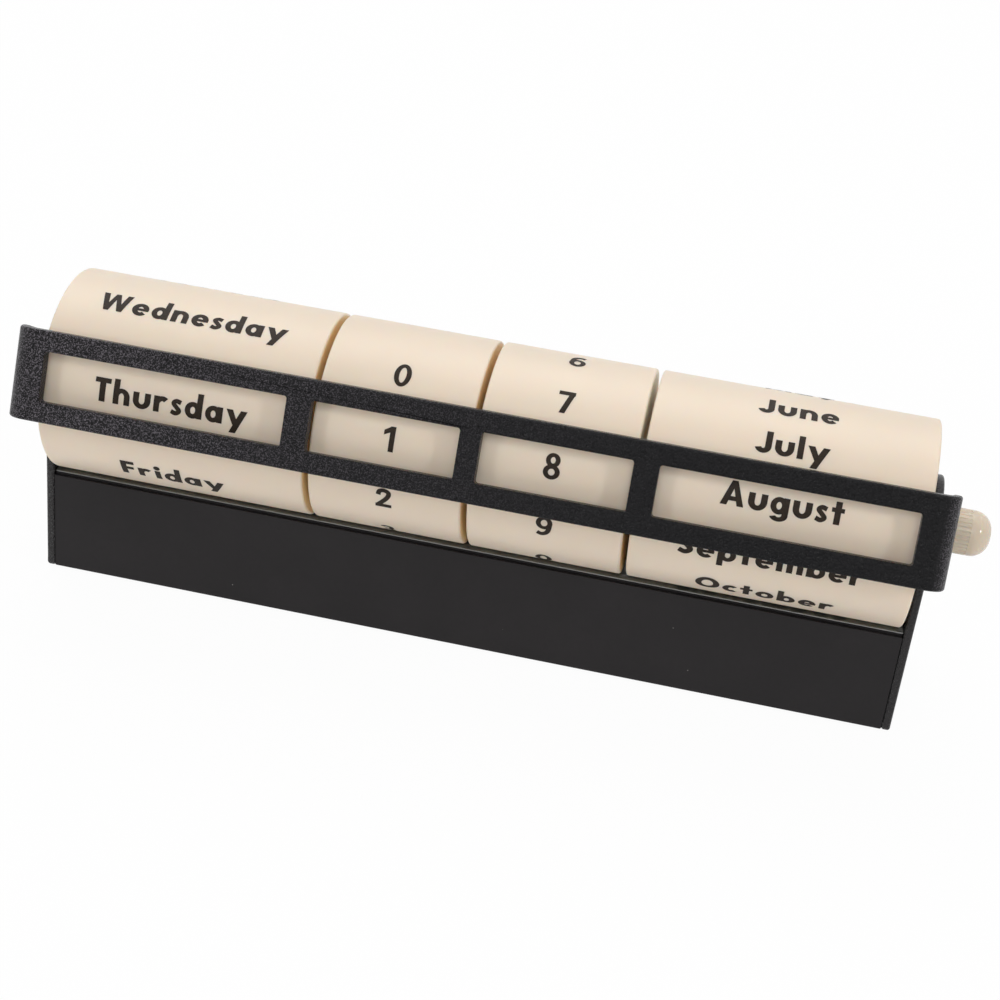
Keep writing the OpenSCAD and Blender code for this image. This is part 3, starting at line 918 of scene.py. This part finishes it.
class CALENDAR_OT_dress_strip(Operator):
    """Round the window strip's edges and give it the leather grain"""
    bl_idname = "calendar.dress_strip"
    bl_label = "Dress Window Strip"

    def execute(self, context):
        look = context.scene.calendar_blacks
        grained = leather_grain("grained_strip_plastic", look, look.strip_black, look.strip_glint_colour,
                                reflects=0.12)
        round_edges(dress("window_strip", grained), look.strip_round, STRIP_STEPS)
        return {"FINISHED"}


class CALENDAR_OT_dress_base(Operator):
    """Finish the base panels, trough, bottom plate, pad and screws"""
    bl_idname = "calendar.dress_base"
    bl_label = "Dress Base"

    def execute(self, context):
        look = context.scene.calendar_blacks
        shell = dress("base_shell", matte_grain("matte_panel_plastic", look, roughness=0.5))
        round_edges(shell, look.base_round)
        trough = dress("drum_trough", polished_black(look))
        round_edges(trough, look.base_round)
        dress("bottom_plate", matte_grain("matte_sheet_plastic", look, roughness=0.6))
        dress("base_pad", black_rubber())
        dress("bottom_screws", black_screw())
        return {"FINISHED"}


class CALENDAR_OT_dress_plates(Operator):
    """Finish the two end plates and their screws"""
    bl_idname = "calendar.dress_plates"
    bl_label = "Dress End Plates"

    def execute(self, context):
        look = context.scene.calendar_blacks
        grained = leather_grain("grained_plate_plastic", look, look.panel_black, look.plate_glint_colour,
                                reflects=0.25)
        low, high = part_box("end_plate_screws")
        screw_y = high.y - (high.z - low.z) / 2
        screw_z = (low.z + high.z) / 2
        outline = outline_weights([(0, AXLE_HEIGHT), (-screw_y, screw_z), (screw_y, screw_z)])
        for plate in ("left_end_plate", "right_end_plate"):
            round_edges(dress(plate, grained), look.plate_round, PLATE_STEPS, outline)
        dress("end_plate_screws", bpy.data.materials["blackened_steel"])
        return {"FINISHED"}


class CALENDAR_OT_dress_axle(Operator):
    """Finish the axle and everything threaded on it"""
    bl_idname = "calendar.dress_axle"
    bl_label = "Dress Axle"

    def execute(self, context):
        look = context.scene.calendar_fittings
        dress("axle", turned_metal("turned_steel", tuple(look.steel), roughness=0.26))
        dress("spring_washer", turned_metal("spring_steel", shade(look.steel, 0.85), roughness=0.3))
        nylon = natural_nylon(look)
        for piece in ("left_thrust_washer", "right_thrust_washer", "drum_spacers",
                      "strip_bushes", "drag_washer"):
            dress(piece, nylon)
        return {"FINISHED"}


class CALENDAR_OT_dress_nut(Operator):
    """Finish the thumb nut and its brass insert"""
    bl_idname = "calendar.dress_nut"
    bl_label = "Dress Thumb Nut"

    def execute(self, context):
        look = context.scene.calendar_fittings
        drums = context.scene.calendar_drums
        cream = cream_plastic("satin_cream_plastic", drums, tuple(look.nut_cream), look.nut_roughness)
        dress("knob", cream)
        dress("knob_insert", turned_metal("turned_brass", tuple(look.brass), roughness=0.24))
        return {"FINISHED"}


def soft_box(name, place_at, target, width, height, power):
    """A rectangular light turned to its target."""
    lamp = bpy.data.lights.new(name, "AREA")
    lamp.shape = "RECTANGLE"
    lamp.size = width
    lamp.size_y = height
    lamp.energy = power
    obj = bpy.data.objects.new(name, lamp)
    obj.location = place_at
    obj.rotation_euler = (Vector(target) - obj.location).to_track_quat("-Z", "Y").to_euler()
    bpy.context.scene.collection.objects.link(obj)


def seen_white(tree):
    """1 where a camera, glossy or transmission ray looks, 0 for all other rays."""
    path = tree.nodes.new("ShaderNodeLightPath")
    seen = added(tree, path.outputs["Is Camera Ray"], path.outputs["Is Glossy Ray"], "MAXIMUM")
    return added(tree, seen, path.outputs["Is Transmission Ray"], "MAXIMUM")


def mixed(tree, factor, first, second):
    """A mix of two shaders, by factor."""
    blend = tree.nodes.new("ShaderNodeMixShader")
    tree.links.new(factor, blend.inputs[0])
    tree.links.new(first.outputs[0], blend.inputs[1])
    tree.links.new(second.outputs[0], blend.inputs[2])
    return blend.outputs[0]


def white_paper():
    """Pale matte floor that is seen white and keeps the shadow on it."""
    material = bpy.data.materials.new("white_floor")
    material.use_nodes = True
    tree = material.node_tree
    tree.nodes.clear()
    output = tree.nodes.new("ShaderNodeOutputMaterial")
    paper = tree.nodes.new("ShaderNodeBsdfDiffuse")
    paper.inputs["Color"].default_value = FLOOR_WHITE
    glow = tree.nodes.new("ShaderNodeEmission")
    glow.inputs["Strength"].default_value = 1.0
    share = added(tree, seen_white(tree), FLOOR_GLOW_SHARE, "MULTIPLY")
    tree.links.new(mixed(tree, share, paper, glow), output.inputs["Surface"])
    return material


def build_floor():
    """A wide flat floor just under the pad."""
    mesh = bpy.data.meshes.new("floor")
    bm = bmesh.new()
    bmesh.ops.create_grid(bm, x_segments=8, y_segments=8, size=FLOOR_HALF)
    bmesh.ops.translate(bm, verts=bm.verts, vec=(0, 0, -FLOOR_DROP))
    bm.to_mesh(mesh)
    bm.free()
    mesh.materials.append(white_paper())
    floor = bpy.data.objects.new("floor", mesh)
    bpy.context.scene.collection.objects.link(floor)


def build_room(strength):
    """Even light from all round, itself seen as white."""
    world = bpy.data.worlds.new("soft_room")
    bpy.context.scene.world = world
    world.use_nodes = True
    tree = world.node_tree
    tree.nodes.clear()
    output = tree.nodes.new("ShaderNodeOutputWorld")
    room = tree.nodes.new("ShaderNodeBackground")
    room.inputs["Color"].default_value = WHITE
    room.inputs["Strength"].default_value = strength
    white = tree.nodes.new("ShaderNodeBackground")
    white.inputs["Color"].default_value = WHITE
    tree.links.new(mixed(tree, seen_white(tree), room, white), output.inputs["Surface"])


def build_camera(look):
    """The camera that looks down on the calendar from the front."""
    data = bpy.data.cameras.new("camera")
    data.sensor_fit = "HORIZONTAL"
    data.sensor_width = SENSOR_WIDTH
    data.lens = look.lens
    data.clip_start = NEAREST
    camera = bpy.data.objects.new("camera", data)
    bpy.context.scene.collection.objects.link(camera)
    axes = (Vector(CAMERA_RIGHT), -Vector(CAMERA_DOWN), -Vector(CAMERA_FORWARD))
    turn = Matrix(axes).transposed().to_4x4()
    camera.matrix_world = Matrix.Translation(Vector(look.camera_place)) @ turn
    bpy.context.scene.camera = camera


class CALENDAR_OT_build_stage(Operator):
    """Build the pale floor, the soft lights and the camera"""
    bl_idname = "calendar.build_stage"
    bl_label = "Build Stage"

    def execute(self, context):
        look = context.scene.calendar_stage
        context.scene.view_settings.view_transform = "Standard"
        build_floor()
        build_room(look.room)
        for name, place_at, target, width, height, power in LIGHTS:
            soft_box(name, place_at, target, width, height, getattr(look, power))
        build_camera(look)
        return {"FINISHED"}


class CALENDAR_PT_finish(Panel):
    """Finishes of the desk calendar"""
    bl_idname = "CALENDAR_PT_finish"
    bl_label = "Desk Calendar"
    bl_space_type = "VIEW_3D"
    bl_region_type = "UI"
    bl_category = "Desk Calendar"

    def draw(self, context):
        layout = self.layout
        for operator in OPERATORS:
            layout.operator(operator.bl_idname)
        for name in SETTINGS:
            box = layout.box()
            group = getattr(context.scene, name)
            for prop in group.bl_rna.properties:
                if prop.identifier not in {"rna_type", "name"}:
                    box.prop(group, prop.identifier)


SETTINGS = {
    "calendar_drums": DrumSettings,
    "calendar_legends": LegendSettings,
    "calendar_blacks": BlackSettings,
    "calendar_fittings": FittingSettings,
    "calendar_stage": StageSettings,
}
OPERATORS = [
    CALENDAR_OT_dress_drums,
    CALENDAR_OT_print_legends,
    CALENDAR_OT_dress_strip,
    CALENDAR_OT_dress_base,
    CALENDAR_OT_dress_plates,
    CALENDAR_OT_dress_axle,
    CALENDAR_OT_dress_nut,
    CALENDAR_OT_build_stage,
]
CLASSES = [*SETTINGS.values(), *OPERATORS, CALENDAR_PT_finish]


def register():
    """Makes the settings, operators and panel known."""
    for cls in CLASSES:
        bpy.utils.register_class(cls)
    for name, group in SETTINGS.items():
        setattr(bpy.types.Scene, name, PointerProperty(type=group))


def unregister():
    """Takes back what register did."""
    for name in SETTINGS:
        delattr(bpy.types.Scene, name)
    for cls in reversed(CLASSES):
        bpy.utils.unregister_class(cls)


def main():
    """Builds the whole finish in order."""
    register()
    bpy.ops.calendar.dress_drums()
    bpy.ops.calendar.print_legends()
    bpy.ops.calendar.dress_strip()
    bpy.ops.calendar.dress_base()
    bpy.ops.calendar.dress_plates()
    bpy.ops.calendar.dress_axle()
    bpy.ops.calendar.dress_nut()
    bpy.ops.calendar.build_stage()


if __name__ == "__main__":
    main()
